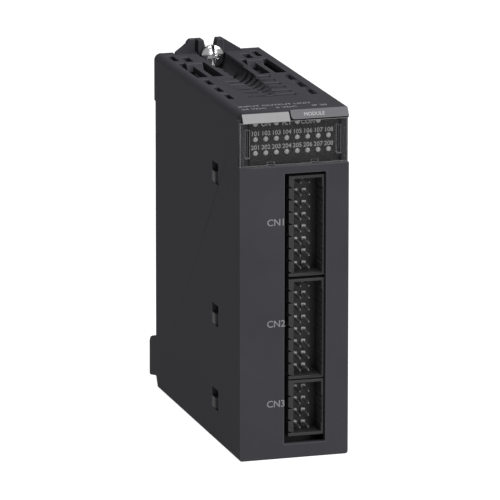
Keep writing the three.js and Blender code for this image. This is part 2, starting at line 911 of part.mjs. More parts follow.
// The slot that the screw drops into from above, wider at its mouth.
function screwSlot() {
  const slot = screwRadius + screwPitchSlack;
  const mouth = slot + earMouthSpread;
  const flare = new THREE.Shape();
  flare.moveTo(-slot, screwHeight);
  flare.absarc(0, screwHeight, slot, Math.PI, 2 * Math.PI);
  flare.lineTo(slot, earTop - earMouthDrop);
  flare.lineTo(mouth, earTop + touch);
  flare.lineTo(-mouth, earTop + touch);
  flare.lineTo(-slot, earTop - earMouthDrop);
  return alongY(flare, bossFront - beyond, depth + beyond);
}

// A snap hook at the top (up = 1) or at the bottom (up = -1) of the case.
function rearHook(side, up) {
  const across = sideRange(side, hookMiddle - hookWidth / 2, hookMiddle + hookWidth / 2);
  const wall = up > 0 ? height - topWall : bottomWall;
  const face = up > 0 ? height + hookProud : fit;
  const end = hookFront + hookHeadLength;
  const under = wall - up * fit;
  const head = shapeOf([
    [hookFront, under],
    [hookFront, wall],
    [hookFront + hookRamp, face],
    [end, face],
    [end, under],
  ]);
  const low = Math.min(under, under - up * hookArmThickness);
  const arm = block(across, [hookFront, plateFront + touch], [low, low + hookArmThickness]);
  return joined([alongX(head, across[0], across[1]), arm]);
}

// A lug that hooks into the foot of the rack.
function hookingLug(side) {
  const outer = halfWidth - lugSideGap;
  const inner = outer - lugWidth;
  const tip = depth + lugReach;
  const root = lowerRear + fit;
  const outline = shapeOf([
    [root, lugBottom + lugHeel],
    [tip - lugTipRun, lugBottom],
    [tip, lugBottom + lugTipRise],
    ...lugShoulders.map(([run, drop]) => [tip - run, lugTop - drop]),
    [root, lugTop],
  ]);
  const hook = alongX(outline, ...sideRange(side, inner, outer));
  const neck = block(
    sideRange(side, inner, innerHalf - fit),
    [plateFront, root + touch],
    [lugBottom + lugNeckRise, lugTop],
  );
  return hook.add(neck);
}

// The window in the rear cover around the bus connector.
function busOpening() {
  return block(
    [busLeft - fit, busLeft + busWidth + fit],
    [plateFront - beyond, depth + beyond],
    [busBottom - fit, busTop + fit],
  );
}

// The place of each contact: its X and Z, and which column it is in.
function busPlaces() {
  return Array.from({ length: busRows }, (_, k) => busBottom + busEnd + (k + 0.5) * busPitch).flatMap(
    (level) => [-1, 1].map((column) => [busMiddle + (column * busPitch) / 2, level, column]),
  );
}

// Socket housing that plugs into the backplane of the rack.
function busHousing() {
  const inner = [busBottom + busWall, busTop - busWall];
  const mouthAcross = [busLeft + busWall, busLeft + busWidth - busWall];
  const pocketAcross = [busMiddle - busPocketHalf, busMiddle + busPocketHalf];
  const body = block([busLeft, busLeft + busWidth], [busFront, busRear], [busBottom, busTop]);
  const mouth = block(mouthAcross, [busRear - busMouthDepth, busRear + beyond], inner);
  const pocket = block(pocketAcross, [busFront - beyond, busFront + busPocketDepth], inner);
  const holes = busPlaces().map(([x, level]) =>
    block(
      [x - busHoleHalf, x + busHoleHalf],
      [busFront, busRear],
      [level - busHoleHalf, level + busHoleHalf],
    ),
  );
  return cutBy(body, [mouth, pocket, ...holes]);
}

// The contacts of the bus connector in their moulded strip, bent across to the logic board.
function busContacts() {
  const strip = block(
    [busMiddle - busPocketHalf + touch, busMiddle + busPocketHalf - touch],
    [busFront + beyond, busFront + busPocketDepth - touch],
    [busBottom + busWall + 2 * touch, busTop - busWall - 2 * touch],
  );
  const contacts = busPlaces().map(([x, level, column]) => {
    const bend = busFront - contactBends[column > 0 ? 0 : 1];
    const outline = bentOutline(x, busRear - contactSetBack, bend, busLeft, contactHalf);
    return alongZ(outline, level - contactHalf, level + contactHalf);
  });
  return joined([strip, ...contacts]);
}

// Combined slot and cross head screw, turned on the Y axis.
function fixingScrew() {
  const back = washerFront - touch;
  const tip = back + screwLength;
  const dome = new THREE.Shape();
  dome.moveTo(0, tip);
  dome.lineTo(0, headFront);
  dome.quadraticCurveTo(screwHeadRadius - screwDome, headFront, screwHeadRadius, headFront + screwDome);
  dome.lineTo(screwHeadRadius, back);
  dome.lineTo(screwRadius, back);
  dome.lineTo(screwRadius, tip - screwTip);
  dome.lineTo(screwRadius - screwTip, tip);
  dome.lineTo(0, tip);
  const turned = new THREE.LatheGeometry(dome.getPoints(4).slice(1), 24);
  turned.translate(0, 0, screwHeight);
  const half = slotWidth / 2;
  const cutDepth = [headFront - beyond, headFront + slotDepth];
  const levels = [screwHeight - 2 * screwHeadRadius, screwHeight + 2 * screwHeadRadius];
  const slot = block([-half, half], cutDepth, levels);
  const cross = block(
    [-crossLength / 2, crossLength / 2], cutDepth, [screwHeight - half, screwHeight + half],
  );
  return cutBy(solid(turned), [slot, cross]);
}

function screwWasher() {
  const ring = rod(washerRadius, [washerFront, washerFront + washerThickness], 0, screwHeight, 24);
  const bore = rod(screwRadius + touch, [washerFront - beyond, bossFront + beyond], 0, screwHeight, 24);
  return ring.subtract(bore);
}

// A flat component body on the inner face of a side board.
function chip(side, place, [length, tall, thickness]) {
  const y = boardFront + place[0];
  const z = boardBottom + place[1];
  return block(
    sideRange(side, boardFace - thickness, boardFace),
    [y - length / 2, y + length / 2],
    [z - tall / 2, z + tall / 2],
  );
}

// A dual-in-line isolator with its six legs.
function isolator(place) {
  const y = boardFront + place[0];
  const z = boardBottom + place[1];
  const legs = [-busPitch, 0, busPitch].flatMap((rise) =>
    [-legSpread, legSpread].map((run) =>
      block(
        [boardFace - legRise, boardFace],
        [y + run - legLength / 2, y + run + legLength / 2],
        [z + rise - legWidth / 2, z + rise + legWidth / 2],
      ),
    ),
  );
  return joined([chip(1, place, isolatorBody), ...legs]);
}

// An upright electrolytic capacitor on its plastic foot.
function capacitor(place) {
  const side = 2 * (canRadius + canFootLip);
  const can = crossRod(
    canRadius,
    [boardFace - canHeight, boardFace - canFoot / 2],
    boardFront + place[0],
    boardBottom + place[1],
    20,
  );
  return chip(1, place, [side, side, canFoot]).add(can);
}

// The pin strip that joins the side boards, and the socket it goes into.
function linkHeader() {
  const base = block([boardFace - linkBase, boardFace], linkSpan, [linkBottom, linkTop]);
  const pins = Array.from({ length: linkPins }, (_, k) => {
    const z = linkBottom + (k + 1) * busPitch;
    return block(
      [linkPinTip, boardFace - linkBase + touch],
      [linkMiddle - linkPinHalf, linkMiddle + linkPinHalf],
      [z - linkPinHalf, z + linkPinHalf],
    );
  });
  return joined([base, ...pins]);
}

function linkSocket() {
  const body = block([-boardFace, linkSocketFace], linkSpan, [linkBottom, linkTop]);
  const slot = block(
    [linkSocketSlotFloor, linkSocketFace + beyond],
    [linkMiddle - linkSocketSlotHalf, linkMiddle + linkSocketSlotHalf],
    [linkBottom + linkSocketWall, linkTop - linkSocketWall],
  );
  return body.subtract(slot);
}

const controllerModule = new THREE.Group();
controllerModule.position.y = -overallDepth / 2;

const bayPieces = new THREE.Group();
const stripLeft = stripInset - halfWidth;
const stripRight = stripLeft + stripWidth;
const strip = edgeBar(stripLeft, stripRight, coverSetBack, stripLip);
const tab = edgeBar(stripRight + tabGap, halfWidth, 0, tabLip);
bayPieces.add(piece('display_window', displayCover(), finishes.clearPlastic));
bayPieces.add(piece('marker_strip', strip, finishes.paleStrip));
bayPieces.add(piece('type_tab', tab, finishes.greyTab));
bayPieces.add(piece('legend_panel', legendPanel(), finishes.legend));
for (const row of lampRows) {
  bayPieces.add(piece(row.name, lightGuide(row), finishes.lens));
}
bayPieces.add(piece('display_board', displayBoard(), finishes.laminate));

const connectorPieces = new THREE.Group();
connectorPieces.add(piece('connector_carrier', connectorCarrier(), finishes.darkPlastic));
for (const header of headers) {
  connectorPieces.add(piece(`${header.name}_shroud`, headerShroud(header), finishes.darkPlastic));
  connectorPieces.add(piece(`${header.name}_pins`, headerPins(header), finishes.tinned));
}

const boardPieces = new THREE.Group();
boardPieces.add(piece('io_board', sideBoard(1), finishes.laminate));
boardPieces.add(piece('logic_board', sideBoard(-1), finishes.laminate));
spacerPlaces().forEach((place, k) => {
  boardPieces.add(piece(`board_spacer_${k + 1}`, boardSpacer(place), finishes.lens));
});
boardPieces.add(piece('link_header', linkHeader(), finishes.chip));
boardPieces.add(piece('link_socket', linkSocket(), finishes.chip));
for (let k = 0; k < isolatorCount; k += 1) {
  const place = [isolatorPlace[0], isolatorPlace[1] + k * isolatorPitch];
  boardPieces.add(piece(`input_isolator_${k + 1}`, isolator(place), finishes.chip));
}
capacitorPlaces.forEach((place, k) => {
  boardPieces.add(piece(`capacitor_${k + 1}`, capacitor(place), finishes.steel));
});
for (const item of boardChips) {
  boardPieces.add(piece(item.name, chip(item.side, item.place, item.size), finishes[item.finish]));
}
boardPieces.add(piece('bus_connector', busHousing(), finishes.darkPlastic));
boardPieces.add(piece('bus_contacts', busContacts(), finishes.tinned));

const screwPieces = new THREE.Group();
screwPieces.add(piece('fixing_screw', fixingScrew(), finishes.steel));
screwPieces.add(piece('screw_washer', screwWasher(), finishes.steel));

controllerModule.add(piece('main_case', mainCase(), finishes.casePlastic));
controllerModule.add(piece('rear_cover', rearCover(), finishes.casePlastic));
controllerModule.add(bayPieces);
controllerModule.add(connectorPieces);
controllerModule.add(boardPieces);
controllerModule.add(screwPieces);

const part = new THREE.Group();
part.add(controllerModule);

export default part;
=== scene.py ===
import json
import math

import bmesh
import bpy
from mathutils import Matrix, Vector

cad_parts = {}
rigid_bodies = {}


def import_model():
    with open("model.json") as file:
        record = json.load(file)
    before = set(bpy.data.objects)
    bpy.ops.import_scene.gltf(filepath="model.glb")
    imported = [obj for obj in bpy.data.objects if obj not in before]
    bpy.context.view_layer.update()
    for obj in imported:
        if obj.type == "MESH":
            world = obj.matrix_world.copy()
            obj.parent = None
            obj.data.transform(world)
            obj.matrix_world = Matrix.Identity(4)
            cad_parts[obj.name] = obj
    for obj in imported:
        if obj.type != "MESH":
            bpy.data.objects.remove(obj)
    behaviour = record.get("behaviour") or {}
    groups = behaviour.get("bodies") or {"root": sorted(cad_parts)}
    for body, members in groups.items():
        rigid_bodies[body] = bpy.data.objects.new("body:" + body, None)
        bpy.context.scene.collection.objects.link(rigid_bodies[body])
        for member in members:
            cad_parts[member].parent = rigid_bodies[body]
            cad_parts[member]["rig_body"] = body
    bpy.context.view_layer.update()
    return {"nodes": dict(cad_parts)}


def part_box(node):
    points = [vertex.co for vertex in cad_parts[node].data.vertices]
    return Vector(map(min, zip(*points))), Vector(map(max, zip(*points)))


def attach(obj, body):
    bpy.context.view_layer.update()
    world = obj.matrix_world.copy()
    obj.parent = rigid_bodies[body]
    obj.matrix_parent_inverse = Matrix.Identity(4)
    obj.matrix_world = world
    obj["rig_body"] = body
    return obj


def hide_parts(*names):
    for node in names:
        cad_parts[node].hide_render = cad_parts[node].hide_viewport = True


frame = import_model()

# ---------------------------------------------------------------------------------------------
# Camera. A long lens from in front, above and to the left of the module, far enough away that
# its edges stay nearly parallel.
MM = 0.001
case_low, case_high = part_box("main_case")
front_y = case_low.y
module_top = case_high.z


def at(x, behind, z):
    """A point in metres, from millimetres across, behind the front face and above the bottom."""
    return Vector((x * MM, front_y + behind * MM, z * MM))


VIEW_YAW = math.radians(16.92)
VIEW_PITCH = math.radians(13.78)
VIEW_ROLL = math.radians(0.072)
VIEW_DISTANCE = 1641 * MM
VIEW_LENS = 422.22
AIM_ACROSS = -12.38 * MM
AIM_UP = 9.95 * MM

look = Vector((
    math.sin(VIEW_YAW) * math.cos(VIEW_PITCH),
    math.cos(VIEW_YAW) * math.cos(VIEW_PITCH),
    -math.sin(VIEW_PITCH),
))
level_right = Vector((math.cos(VIEW_YAW), -math.sin(VIEW_YAW), 0))
level_up = level_right.cross(look)
right = level_right * math.cos(VIEW_ROLL) + level_up * math.sin(VIEW_ROLL)
up = right.cross(look)
aim = at(0, 0, 50) + right * AIM_ACROSS + up * AIM_UP

lens = bpy.data.cameras.new("camera")
lens.lens = VIEW_LENS
lens.sensor_width = 36
lens.clip_start = 0.05
camera = bpy.data.objects.new("camera", lens)
turn = Matrix((right, up, -look)).transposed()
camera.matrix_world = Matrix.Translation(aim - look * VIEW_DISTANCE) @ turn.to_4x4()
bpy.context.scene.collection.objects.link(camera)
bpy.context.scene.camera = camera

# ---------------------------------------------------------------------------------------------
# Main case. One deep injection moulding in charcoal glass-filled plastic with a fine
# spark-eroded surface; its vents, windows and the screwdriver trough are moulded in.
CASE_COLOUR = (0.0336, 0.0330, 0.0372)
CASE_ROUGHNESS = 0.72
CASE_EDGE = 0.22 * MM


def new_material(name):
    """A material with its shader, and a small function that adds and links one node."""
    material = bpy.data.materials.new(name)
    material.use_nodes = True
    nodes = material.node_tree.nodes
    links = material.node_tree.links
    shader = nodes["Principled BSDF"]

    def add(kind, inputs=None, **settings):
        node = nodes.new(kind)
        for key, value in settings.items():
            setattr(node, key, value)
        for key, value in (inputs or {}).items():
            if isinstance(value, bpy.types.NodeSocket):
                links.new(value, node.inputs[key])
            else:
                node.inputs[key].default_value = value
        return node

    def link(source, target):
        links.new(source, shader.inputs[target])

    return material, shader, add, link


def moulded_plastic(
    name, colour, roughness, grain=0.22 * MM, depth=0.012 * MM, wear_and_highlight=0.35, mirror=0.02
):
    """Moulded plastic: fine surface grain, faint flow mottling and rounded edges a little paler,
    partly rubbed wear and partly a painted edge highlight.
    """
    material, shader, add, link = new_material(name)
    shader.inputs["IOR"].default_value = 1.47
    shader.inputs["Specular IOR Level"].default_value = mirror
    place = add("ShaderNodeTexCoord").outputs["Object"]
    cloud = add(
        "ShaderNodeTexNoise", {"Vector": place, "Scale": 55, "Detail": 4, "Roughness": 0.6}
    ).outputs["Fac"]
    fine = add(
        "ShaderNodeTexNoise", {"Vector": place, "Scale": 1 / grain, "Detail": 2}
    ).outputs["Fac"]
    tone = add("ShaderNodeValToRGB", {"Fac": cloud})
    tone.color_ramp.elements[0].position = 0.3
    tone.color_ramp.elements[1].position = 0.7
    tone.color_ramp.elements[0].color = (*(c * 0.93 for c in colour), 1)
    tone.color_ramp.elements[1].color = (*(c * 1.07 for c in colour), 1)
    # Rounded edges a little paler: rubbed wear together with a painted highlight along every rounded
    # edge.
    edge = add(
        "ShaderNodeMapRange",
        {
            "Value": add("ShaderNodeAttribute", attribute_name="rubbed").outputs["Fac"],
            "To Max": wear_and_highlight,
        },
    ).outputs["Result"]
    worn_and_highlit = add("ShaderNodeMix", {"Factor": edge}, data_type="RGBA")
    worn_and_highlit.inputs["B"].default_value = (*(c * 2.2 + 0.01 for c in colour), 1)
    material.node_tree.links.new(tone.outputs["Color"], worn_and_highlit.inputs["A"])
    link(worn_and_highlit.outputs["Result"], "Base Color")
    sheen = add(
        "ShaderNodeMapRange",
        {"Value": cloud, "From Min": 0.3, "From Max": 0.7, "To Min": roughness - 0.04,
         "To Max": roughness + 0.05},
    ).outputs["Result"]
    link(sheen, "Roughness")
    bump = add("ShaderNodeBump", {"Height": fine, "Strength": 0.5, "Distance": depth})
    link(bump.outputs["Normal"], "Normal")
    return material


def room_beside(face, edge):
    """How far a face reaches away from one of its edges."""
    base = edge.verts[0].co
    along = (edge.verts[1].co - base).normalized()
    return max(((v.co - base) - along * (v.co - base).dot(along)).length for v in face.verts)


def round_edges(shape, radius, segments=2, sharpest=28, finish=-1):
    """Rounds the sharp edges that have room for the radius, and returns the rounded faces."""
    # The rubbed mark on the rounded faces gives them the paler edge tone, which is rubbed wear and
    # painted highlight.
    rubbed = shape.faces.layers.float.new("rubbed")
    chosen = [
        e
        for e in shape.edges
        if len(e.link_faces) == 2
        and e.calc_face_angle(0) > math.radians(sharpest)
        and e.calc_length() > 2.2 * radius
        and min(room_beside(f, e) for f in e.link_faces) > 2.4 * radius
    ]
    made = bmesh.ops.bevel(
        shape, geom=chosen, offset=radius, segments=segments, profile=0.5, affect="EDGES",
        clamp_overlap=False, offset_type="OFFSET", material=finish,
    )
    for face in made["faces"]:
        face[rubbed] = 1
    return set(made["faces"])


def flat_faces(shape, rounded):
    """The faces that lie in a plane: they meet only level or sharply turned neighbours."""
    flat = set()
    for face in shape.faces:
        turns = [
            e.calc_face_angle(0)
            for e in face.edges
            if len(e.link_faces) == 2 and not rounded.intersection(e.link_faces)
        ]
        if face not in rounded and not any(math.radians(1) < t < math.radians(50) for t in turns):
            flat.add(face)
    return flat


def finish_mesh(name, shape, finishes, flat=frozenset()):
    """An object of a finished mesh: flat faces stay flat and rounded edges shade smoothly."""
    mesh = bpy.data.meshes.new(name)
    shape.normal_update()
    for face in shape.faces:
        face.smooth = face not in flat
    shape.to_mesh(mesh)
    shape.free()
    mesh.set_sharp_from_angle(angle=math.radians(50))
    for finish in finishes:
        mesh.materials.append(finish)
    made = bpy.data.objects.new(name, mesh)
    bpy.context.scene.collection.objects.link(made)
    made.modifiers.new("face_weights", "WEIGHTED_NORMAL").keep_sharp = True
    return made


def fitted(made, nodes):
    """Fixes a finished piece to the body of the CAD nodes that it stands for."""
    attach(made, frame["nodes"][nodes[0]]["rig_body"])
    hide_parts(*nodes)
    return made


def moulding(node, finish, radius, segments=2, edge_finish=None):
    """A CAD node as a finished moulding: its points joined up and its edges rounded."""
    shape = bmesh.new()
    shape.from_mesh(frame["nodes"][node].data)
    bmesh.ops.remove_doubles(shape, verts=shape.verts, dist=0.002 * MM)
    shape.normal_update()
    finishes = [finish] if edge_finish is None else [finish, edge_finish]
    rounded = round_edges(shape, radius, segments, finish=len(finishes) - 1)
    made = finish_mesh(node + "_moulding", shape, finishes, flat_faces(shape, rounded))
    return fitted(made, [node])


case_plastic = moulded_plastic("case_plastic", CASE_COLOUR, CASE_ROUGHNESS)
moulding("main_case", case_plastic, CASE_EDGE)

# ---------------------------------------------------------------------------------------------
# Rear cover. It closes the case from behind with four snap hooks, carries the two ears around
# the fixing screw and the two lugs that hook into the foot of the rack. Same plastic.
moulding("rear_cover", case_plastic, 0.2 * MM)

# ---------------------------------------------------------------------------------------------
# Connector carrier and the three header shrouds. Plain dark grey moulding behind the front wall,
# snapped into the side windows; the shrouds are coded by notches down their left walls.
carrier_plastic = moulded_plastic(
    "inner_plastic", (0.0225, 0.0225, 0.0235), 0.55, grain=0.35 * MM, depth=0.006 * MM, mirror=0.15
)
moulding("connector_carrier", carrier_plastic, 0.15 * MM)
shroud_nodes = sorted(n for n in frame["nodes"] if n.endswith("_shroud"))
for node in shroud_nodes:
    moulding(node, carrier_plastic, 0.1 * MM)

# ---------------------------------------------------------------------------------------------
# Header pins. Square tinned contacts with a tapered tip and a moulded collar where they leave the
# shroud floor, held by a moulded strip and bent across to the input and output board. The collars'
# pale colour is a painted highlight, the light on the pins' shoulders.
PIN_PITCH = 3.5
PIN_INSET = 3.6
PIN_COLUMN_PITCH = 2.5
PIN_HALF = 0.28
PIN_TIP = 1.5
PIN_TAPER = 0.75
PIN_BLUNT = 0.3
SHROUD_FLOOR = 7.8
COLLAR_LEFT = 0.5
COLLAR_RIGHT = 0.65
COLLAR_LOW = 0.3
COLLAR_HIGH = 0.6
COLLAR_DEPTH = 0.9
STRIP_INSET = 0.9
STRIP_FRONT = 8.75
TAIL_SPREAD = 1.4
FIRST_ROW_DROP = {"connector_1": 2.2, "connector_2": 2.2, "connector_3": 3.5}
ROWS = {"connector_1": 8, "connector_2": 8, "connector_3": 4}


def metal(name, colour, roughness, streak=(1, 1, 1), grain=900):
    """Bare metal with a drawn or turned grain in its gloss."""
    material, shader, add, link = new_material(name)
    shader.inputs["Metallic"].default_value = 1.0
    place = add("ShaderNodeTexCoord").outputs["Object"]
    drawn = add("ShaderNodeMapping", {"Vector": place, "Scale": streak}).outputs["Vector"]
    noise = add(
        "ShaderNodeTexNoise", {"Vector": drawn, "Scale": grain, "Detail": 5, "Roughness": 0.65}
    ).outputs["Fac"]
    tone = add("ShaderNodeValToRGB", {"Fac": noise})
    tone.color_ramp.elements[0].color = (*(c * 0.86 for c in colour), 1)
    tone.color_ramp.elements[1].color = (*colour, 1)
    link(tone.outputs["Color"], "Base Color")
    gloss = add(
        "ShaderNodeMapRange",
        {"Value": noise, "From Min": 0.3, "From Max": 0.7, "To Min": roughness * 0.8,
         "To Max": roughness * 1.25},
    ).outputs["Result"]
    link(gloss, "Roughness")
    bump = add("ShaderNodeBump", {"Height": noise, "Strength": 0.25, "Distance": 0.004 * MM})
    link(bump.outputs["Normal"], "Normal")
    return material


def add_block(shape, xs, ds, zs, finish=0):
    """A box from its two X, depth and Z values in millimetres."""
    corners = [at(x, d, z) for x in xs for d in ds for z in zs]
    verts = [shape.verts.new(c) for c in corners]
    for ring in ((0, 1, 3, 2), (4, 6, 7, 5), (0, 4, 5, 1), (2, 3, 7, 6), (0, 2, 6, 4), (1, 5, 7, 3)):
        face = shape.faces.new([verts[k] for k in ring])
        face.material_index = finish
    return verts


def add_taper(shape, x, z, half, start, end, share):
    """A four-sided point from its base at end to its blunt tip at start."""
    rings = []
    for depth, reach in ((end, half), (start, half * share)):
        rings.append([
            shape.verts.new(at(x + i * reach, depth, z + k * reach))
            for i, k in ((-1, -1), (1, -1), (1, 1), (-1, 1))
        ])
    for k in range(4):
        shape.faces.new((rings[0][k], rings[0][k - 1], rings[1][k - 1], rings[1][k]))
    shape.faces.new(rings[1][::-1])
    shape.faces.new(rings[0])


tinned = metal("tinned_metal", (0.46, 0.46, 0.47), 0.42, (1, 0.1, 1))
# Pale collar finish: painted highlight on the pins' shoulders at the shroud floor.
collar_painted_highlight = moulded_plastic("pin_collar_painted_highlight", (0.34, 0.34, 0.33), 0.5, wear_and_highlight=0.1)
board_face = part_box("io_board")[0].x / MM - 0.1
first_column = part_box("connector_1_shroud")[0].x / MM + PIN_INSET
pin_columns = (first_column, first_column + PIN_COLUMN_PITCH)
for header, rows in ROWS.items():
    shroud_low, shroud_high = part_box(header + "_shroud")
    strip_back = (shroud_high.y - front_y) / MM
    first_row = shroud_high.z / MM - FIRST_ROW_DROP[header]
    shape = bmesh.new()
    for row in range(rows):
        z = first_row - row * PIN_PITCH
        for column, x in enumerate(pin_columns):
            bend = strip_back + TAIL_SPREAD * (2 - column)
            add_taper(shape, x, z, PIN_HALF, PIN_TIP, PIN_TIP + PIN_TAPER, PIN_BLUNT)
            span = (x - PIN_HALF, x + PIN_HALF)
            levels = (z - PIN_HALF, z + PIN_HALF)
            add_block(shape, span, (PIN_TIP + PIN_TAPER, bend + PIN_HALF), levels)
            add_block(shape, (x + PIN_HALF, board_face), (bend - PIN_HALF, bend + PIN_HALF), levels)
            # Collar at the shroud floor, in the pale painted-highlight finish.
            collar_span = (x - COLLAR_LEFT, x + COLLAR_RIGHT)
            collar_levels = (z - COLLAR_LOW, z + COLLAR_HIGH)
            collar_reach = (SHROUD_FLOOR - COLLAR_DEPTH, SHROUD_FLOOR - 0.02)
            add_block(shape, collar_span, collar_reach, collar_levels, finish=2)
    strip_levels = (shroud_low.z / MM + STRIP_INSET, shroud_high.z / MM - STRIP_INSET)
    strip = (pin_columns[0] - TAIL_SPREAD, pin_columns[1] + TAIL_SPREAD)
    add_block(shape, strip, (STRIP_FRONT, strip_back), strip_levels, finish=1)
    round_edges(shape, 0.06 * MM)
    pins = finish_mesh(header + "_pin_set", shape, [tinned, carrier_plastic, collar_painted_highlight])
    fitted(pins, [header + "_pins"])

# ---------------------------------------------------------------------------------------------
# Side boards. Glass laminate with green solder resist over copper tracks, and the small board
# of the lamps behind the front. Four nylon spacers hold the side boards apart.
BOARD_GREEN = (0.012, 0.055, 0.030)


def laminate_finish():
    """Solder resist whose tracks show as slightly paler, slightly raised bands."""
    material, shader, add, link = new_material("laminate")
    shader.inputs["IOR"].default_value = 1.5
    place = add("ShaderNodeTexCoord").outputs["Object"]
    tracks = add(
        "ShaderNodeTexBrick",
        {"Vector": place, "Scale": 260, "Mortar Size": 0.16, "Brick Width": 0.9,
         "Row Height": 0.33},
    ).outputs["Fac"]
    dust = add("ShaderNodeTexNoise", {"Vector": place, "Scale": 400, "Detail": 3}).outputs["Fac"]
    tone = add("ShaderNodeValToRGB", {"Fac": tracks})
    tone.color_ramp.elements[0].color = (*BOARD_GREEN, 1)
    tone.color_ramp.elements[1].color = (*(c * 1.9 for c in BOARD_GREEN), 1)
    link(tone.outputs["Color"], "Base Color")
    gloss = add("ShaderNodeMapRange", {"Value": dust, "To Min": 0.28, "To Max": 0.48})
    link(gloss.outputs["Result"], "Roughness")
    bump = add("ShaderNodeBump", {"Height": tracks, "Strength": 0.5, "Distance": 0.03 * MM})
    link(bump.outputs["Normal"], "Normal")
    return material


laminate = laminate_finish()
for node in ("io_board", "logic_board", "display_board"):
    moulding(node, laminate, 0.12 * MM, segments=1)

nylon = moulded_plastic("nylon", (0.62, 0.60, 0.54), 0.4, wear_and_highlight=0.1)
for node in sorted(n for n in frame["nodes"] if n.startswith("board_spacer")):
    moulding(node, nylon, 0.15 * MM)

# ---------------------------------------------------------------------------------------------
# Components on the side boards. Black epoxy chips and isolators, two capacitor cans, the crystal
# can and the link between the boards, all soldered flat on the boards' inner faces.
epoxy = moulded_plastic("component_body", (0.010, 0.010, 0.011), 0.5, grain=0.15 * MM)
sleeve = metal("capacitor_can", (0.62, 0.63, 0.66), 0.3, (0.2, 1, 1))
for node in sorted(frame["nodes"]):
    if node.startswith(("input_isolator", "output_driver")) or node in (
        "power_converter", "counter_chip", "bus_chip", "memory_chip",
    ):
        moulding(node, epoxy, 0.12 * MM)
    elif node.startswith("capacitor"):
        moulding(node, sleeve, 0.2 * MM)
    elif node in ("link_header", "link_socket"):
        moulding(node, carrier_plastic, 0.1 * MM)
moulding("crystal", tinned, 0.25 * MM)

# ---------------------------------------------------------------------------------------------
# Bus connector. A black socket housing behind the logic board, with two columns of tinned
# contacts that plug onto the rack's own pins.
moulding("bus_connector", carrier_plastic, 0.15 * MM)
moulding("bus_contacts", tinned, 0.08 * MM)

# ---------------------------------------------------------------------------------------------
# Legend panel. A charcoal printed film behind the clear cover, with a hole for each light guide
# and pale numerals beside the holes.
LAMP_PITCH = 3.05
LAMP_COLUMNS = 8
LAMP_ROWS = {
    "light_guide_status": (96.4, 2),
    "light_guide_row_1": (92.0, 1),
    "light_guide_row_2": (88.05, 1),
}
FILM_FACE = 2.4
INK_SEAT = 0.01
INK_SPREAD = 0.03 * MM
CAPITAL_SHARE = 0.73
NUMERAL_HEIGHT = 1.3
NUMERAL_RISE = 1.62
STATUS_WORD_DROP = 0.15


def lamp_places(step):
    """X places of the lamps of one row, every step columns."""
    return [(k - (LAMP_COLUMNS - 1) / 2) * LAMP_PITCH for k in range(0, LAMP_COLUMNS, step)]


film = moulded_plastic(
    "legend_film", (0.024, 0.024, 0.024), 0.4, grain=0.5 * MM, depth=0.003 * MM
)
moulding("legend_panel", film, 0.08 * MM, segments=1)


def ink_finish(name, colour):
    """Screen-printed ink: slightly uneven cover over the grain below."""
    material, shader, add, link = new_material(name)
    place = add("ShaderNodeTexCoord").outputs["Object"]
    cover = add("ShaderNodeTexNoise", {"Vector": place, "Scale": 2500, "Detail": 3}).outputs["Fac"]
    tone = add("ShaderNodeValToRGB", {"Fac": cover})
    tone.color_ramp.elements[0].position = 0.3
    tone.color_ramp.elements[1].position = 0.6
    tone.color_ramp.elements[0].color = (*(c * 0.7 for c in colour), 1)
    tone.color_ramp.elements[1].color = (*colour, 1)
    link(tone.outputs["Color"], "Base Color")
    shader.inputs["Roughness"].default_value = 0.55
    bump = add("ShaderNodeBump", {"Height": cover, "Strength": 0.2, "Distance": 0.004 * MM})
    link(bump.outputs["Normal"], "Normal")
    return material


def printed(name, marks, finish, thickness=0.012):
    """One mesh of several printed words. A mark is its text, its middle, height and turn."""
    shape = bmesh.new()
    for text, middle, height, turned in marks:
        words = bpy.data.curves.new(name, "FONT")
        words.body = text
        words.size = height * MM / CAPITAL_SHARE
        words.align_x = "CENTER"
        words.align_y = "CENTER"
        words.extrude = thickness * MM / 2
        words.offset = INK_SPREAD
        words.resolution_u = 3
        holder = bpy.data.objects.new(name, words)
        bpy.context.scene.collection.objects.link(holder)
        holder.matrix_world = Matrix.Translation(middle) @ turned
        bpy.context.view_layer.update()
        flat = bpy.data.meshes.new_from_object(
            holder.evaluated_get(bpy.context.evaluated_depsgraph_get())
        )
        flat.transform(holder.matrix_world)
        shape.from_mesh(flat)
        bpy.data.objects.remove(holder)
        bpy.data.meshes.remove(flat)
    made = finish_mesh(name, shape, [finish])
    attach(made, "housing")
    return made


upright = Matrix.Rotation(math.radians(90), 4, "X")
pale_ink = ink_finish("pale_ink", (0.20, 0.20, 0.20))
numerals = []
for group, node in enumerate(("light_guide_row_1", "light_guide_row_2"), 1):
    level, step = LAMP_ROWS[node]
    for count, x in enumerate(lamp_places(step), 1):
        middle = at(x, FILM_FACE - INK_SEAT, level + NUMERAL_RISE)
        numerals.append((f"{group}0{count}", middle, NUMERAL_HEIGHT, upright))
status_level, status_step = LAMP_ROWS["light_guide_status"]
for word, x in zip(("ON", "FLT", "COM"), lamp_places(status_step)):
    middle = at(x + LAMP_PITCH, FILM_FACE - INK_SEAT, status_level - STATUS_WORD_DROP)
    numerals.append((word, middle, NUMERAL_HEIGHT, upright))
printed("lamp_numerals", numerals, pale_ink)

# ---------------------------------------------------------------------------------------------
# Light guides. Clear pegs with frosted, slightly domed fronts on one moulded comb for each row;
# they bring the light of the board's lamps to the panel. All lamps are off.
PEG_RADIUS = 0.72
PEG_FRONT = 2.3
PEG_DOME = 0.16
COMB_FRONT = 5.1
COMB_DEPTH = 1.4
COMB_HALF = 1.0


